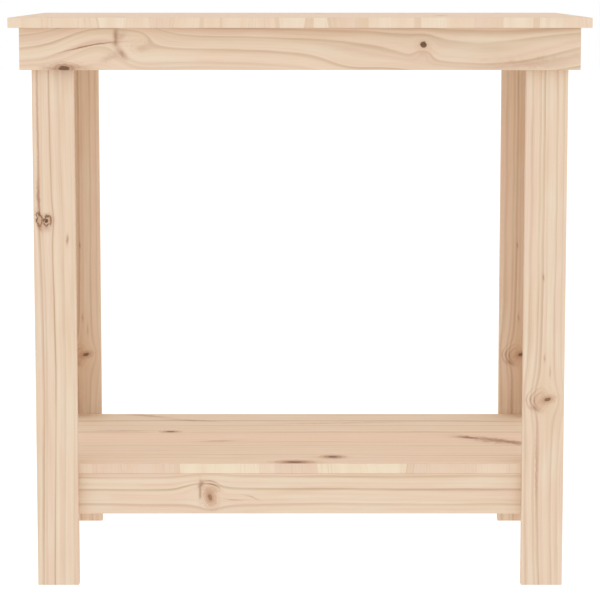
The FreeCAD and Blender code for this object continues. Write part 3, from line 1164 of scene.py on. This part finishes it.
def aims(node):
    """For each solid of a node: the middle of its wider end and the way it points, away from there."""
    result = []
    for corners in islands(node):
        low = Vector([min(corner[axis] for corner in corners) for axis in range(3)])
        high = Vector([max(corner[axis] for corner in corners) for axis in range(3)])
        size = high - low
        axis = max(range(3), key=lambda number: size[number])
        across = (axis + 1) % 3
        middle = (low + high) / 2

        def width_at(end):
            near = [corner for corner in corners if abs(corner[axis] - end) < 1e-4]
            return max(corner[across] for corner in near) - min(corner[across] for corner in near)

        head_low = width_at(low[axis]) >= width_at(high[axis])
        start = middle.copy()
        start[axis] = low[axis] if head_low else high[axis]
        way = Vector((0, 0, 0))
        way[axis] = 1.0 if head_low else -1.0
        result.append((start, way, size[axis]))
    return result


def points_mesh(name, places):
    """A mesh of loose points that also stores the way each one aims."""
    mesh = bpy.data.meshes.new(name)
    mesh.from_pydata([start for start, way, length in places], [], [])
    aim = mesh.attributes.new("aim", "FLOAT_VECTOR", "POINT")
    for item, (start, way, length) in zip(aim.data, places):
        item.vector = way
    return mesh


print(len(aims("board_screws")), "board screws,", len(aims("cleat_screws")), "cleat screws")

# %% [markdown]
# ## Zinc plate
#
# The screws are steel with a thin zinc plate, faintly yellow, clouded, and scratched by driver and box. A
# metal's base colour is the colour of its reflections, so two zinc tones are mixed by a cloud. The
# scratches are darker and also rougher, and that is what tells plate from paint.

# %% Plated steel
ZINC_YELLOW = (0.62, 0.58, 0.47)
ZINC_WHITE = (0.74, 0.72, 0.66)
ZINC_SCRATCHED = (0.42, 0.40, 0.36)


def plated_steel(name):
    """Zinc plate with a faint yellow passivation, clouded and finely scratched."""
    material, shader, start = new_material(name)
    place = board_coordinates(start, (0.0, 0.0, 0.0), (X, Y, Z))
    cloud = noise(place, (3.0, 3.0, 3.0), 1.0, 3.0)
    scratch = noise(place, (0.25, 0.25, 2.5), 6.0, 2.0)
    colour = mix(cloud.rise(0.3, 0.7), ZINC_YELLOW, ZINC_WHITE)
    colour = mix(scratch.rise(0.55, 0.8) * 0.4, colour, ZINC_SCRATCHED)
    connect(shader, "Base Color", colour)
    connect(shader, "Roughness", 0.28 + scratch * 0.25)
    shader.inputs["Metallic"].default_value = 1.0
    bump = start.node("ShaderNodeBump", None, {"Strength": 0.2, "Distance": 0.0001, "Height": scratch})
    connect(shader, "Normal", bump)
    return material


print("zinc plate ready")

# %% [markdown]
# ## One screw from plain shapes
#
# A countersunk screw is a cone with a cross cut into it, a thin shank, a thread and a point. Each of them
# is a plain shape inside the tree: cones, a cylinder, and a triangle swept along a spiral. A screw could
# be modelled by hand once, but the tree makes any length. Nothing has more faces than it needs, because
# 58 screws are made, and most of each one is buried in wood.

# %% Put a fastener on each point
def fastener_tree(name, material, build):
    """Puts what `build` makes, pointing along +Z, on every point, turned the way that it aims."""
    numbers = ["Length", "Radius", "Head radius", "Head height", "Point length", "Thread pitch"]
    tree, value, exit_node = new_tree(name, numbers)
    length = value["Length"]
    aim = length.node("GeometryNodeInputNamedAttribute", {"data_type": "FLOAT_VECTOR"}, {"Name": "aim"})
    turn = aim.node("FunctionNodeAlignRotationToVector", {"axis": "Z"}, {"Vector": aim})
    placed = length.node(
        "GeometryNodeInstanceOnPoints",
        None,
        {"Points": value["Geometry"], "Instance": build(value), "Rotation": turn},
    )
    finish_tree(tree, exit_node, placed, material)
    return tree


def lifted(geometry, height):
    """Geometry moved up by a height."""
    offset = geometry.node("ShaderNodeCombineXYZ", None, {2: height})
    return geometry.node("GeometryNodeTransform", None, {"Geometry": geometry, "Translation": offset})


def link_all(parts, wire, name):
    """Links several geometries to one socket that takes many."""
    for part in parts:
        wire.tree.links.new(part.socket, wire.socket.node.inputs[name])
    return wire


print("fastener tree ready")

# %% [markdown]
# ## Head, thread and point
#
# The cross recess is two bars cut out of the head with a Boolean. The thread is a real ridge, because a
# bump would leave the shank's outline smooth. It winds on for the whole shank, as on a fully threaded
# chipboard screw.

# %% Head, thread and point
RECESS_SPAN = 1.1
BLADE_WIDTH = 0.22
RECESS_DEPTH = 1.3
CORE_SHARE = 0.72
HEAD_CORNERS = 28
SHANK_CORNERS = 14
THREAD_STEPS = 12


def cross_recess(value):
    """Two crossed bars, as wide as a driver's blade, to be cut out of a head."""
    span = value["Head radius"] * RECESS_SPAN
    blade = value["Head radius"] * BLADE_WIDTH
    depth = value["Head height"] * RECESS_DEPTH
    bars = []
    for x_size, y_size in ((span, blade), (blade, span)):
        size = span.node("ShaderNodeCombineXYZ", None, {0: x_size, 1: y_size, 2: depth})
        bars.append(size.node("GeometryNodeMeshCube", None, {"Size": size}))
    return bars


def cone(wide, narrow, height, corners):
    """A cone that stands on its wide end."""
    inputs = {"Vertices": corners, "Radius Bottom": wide, "Radius Top": narrow, "Depth": height}
    return height.node("GeometryNodeMeshCone", None, inputs)


def thread_ridge(value, core, height):
    """A three-sided ridge that winds up round a core."""
    inputs = {"Resolution": THREAD_STEPS, "Rotations": height / value["Thread pitch"], "Height": height}
    inputs.update({"Start Radius": core, "End Radius": core})
    spiral = core.node("GeometryNodeCurveSpiral", None, inputs)
    ridge = value["Radius"] - core
    profile = core.node(
        "GeometryNodeCurvePrimitiveCircle", {"mode": "RADIUS"}, {"Resolution": 3, "Radius": ridge}
    )
    inputs = {"Curve": spiral, "Profile Curve": profile, "Fill Caps": True}
    return core.node("GeometryNodeCurveToMesh", None, inputs)


def screw_shape(value):
    """Countersunk head with a cross recess, shank, thread and point."""
    core = value["Radius"] * CORE_SHARE
    head_height = value["Head height"]
    body_end = value["Length"] - value["Point length"]
    shank_length = body_end - head_height
    head = cone(value["Head radius"], core, head_height, HEAD_CORNERS)
    cut = core.node("GeometryNodeMeshBoolean", {"operation": "DIFFERENCE"}, {"Mesh 1": head}, "Mesh")
    cut = link_all(cross_recess(value), cut, "Mesh 2")
    shank = core.node(
        "GeometryNodeMeshCylinder", None, {"Vertices": SHANK_CORNERS, "Radius": core, "Depth": shank_length}
    )
    shank = lifted(shank, shank_length * 0.5 + head_height)
    point = lifted(cone(core, 0.0, value["Point length"], SHANK_CORNERS), body_end)
    thread = lifted(thread_ridge(value, core, shank_length), head_height)
    return link_all([cut, shank, point, thread], core.node("GeometryNodeJoinGeometry"), "Geometry")


print("screw shape ready")

# %% [markdown]
# ## Driving the screws
#
# Both groups use the one tree. Their lengths are measured from the plain solids, 25 mm and 30 mm, and the
# other sizes are those of a 4 mm countersunk screw.

# %% Build the screws
SCREW_RADIUS = 0.002
HEAD_RADIUS = 0.004
HEAD_HEIGHT = 0.0024
POINT_LENGTH = 0.005
THREAD_PITCH = 0.0018

steel = plated_steel("zinc_plated_steel")
screw_tree = fastener_tree("screws", steel, screw_shape)
for node in ("board_screws", "cleat_screws"):
    places = aims(node)
    numbers = {
        "Length": places[0][2],
        "Radius": SCREW_RADIUS,
        "Head radius": HEAD_RADIUS,
        "Head height": HEAD_HEIGHT,
        "Point length": POINT_LENGTH,
        "Thread pitch": THREAD_PITCH,
    }
    piece = run_tree(f"{node}_threaded", screw_tree, numbers, points_mesh(node, places))
    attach(piece, "root")
    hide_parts(node)

# %% [markdown]
# ## Dowels
#
# A glued dowel sits in the corner of each leg and never shows, but it is part of the bench. It keeps
# its plain solid and gets the tight, speckled look of beech.

# %% Beech
BEECH_BROWN = (0.62, 0.40, 0.25)
BEECH_PALE = (0.70, 0.48, 0.32)
BEECH_FLECK = (0.32, 0.17, 0.09)


def beech(name):
    """Beech: even pinkish brown with short dark flecks."""
    material, shader, start = new_material(name)
    place = board_coordinates(start, (0.0, 0.0, 0.0), (Y, X, Z))
    flecks = noise(place, (2.4, 0.5, 0.5), 3.0, 1.0)
    drift = noise(place, (40.0, 6.0, 6.0), 8.0, 2.0)
    colour = mix(drift, BEECH_BROWN, BEECH_PALE)
    colour = mix(flecks.rise(0.6, 0.75) * 0.6, colour, BEECH_FLECK)
    finish_wood(shader, start, colour, flecks)
    return material


dress("leg_dowels", beech("beech_dowels"))
print("dowels dressed")
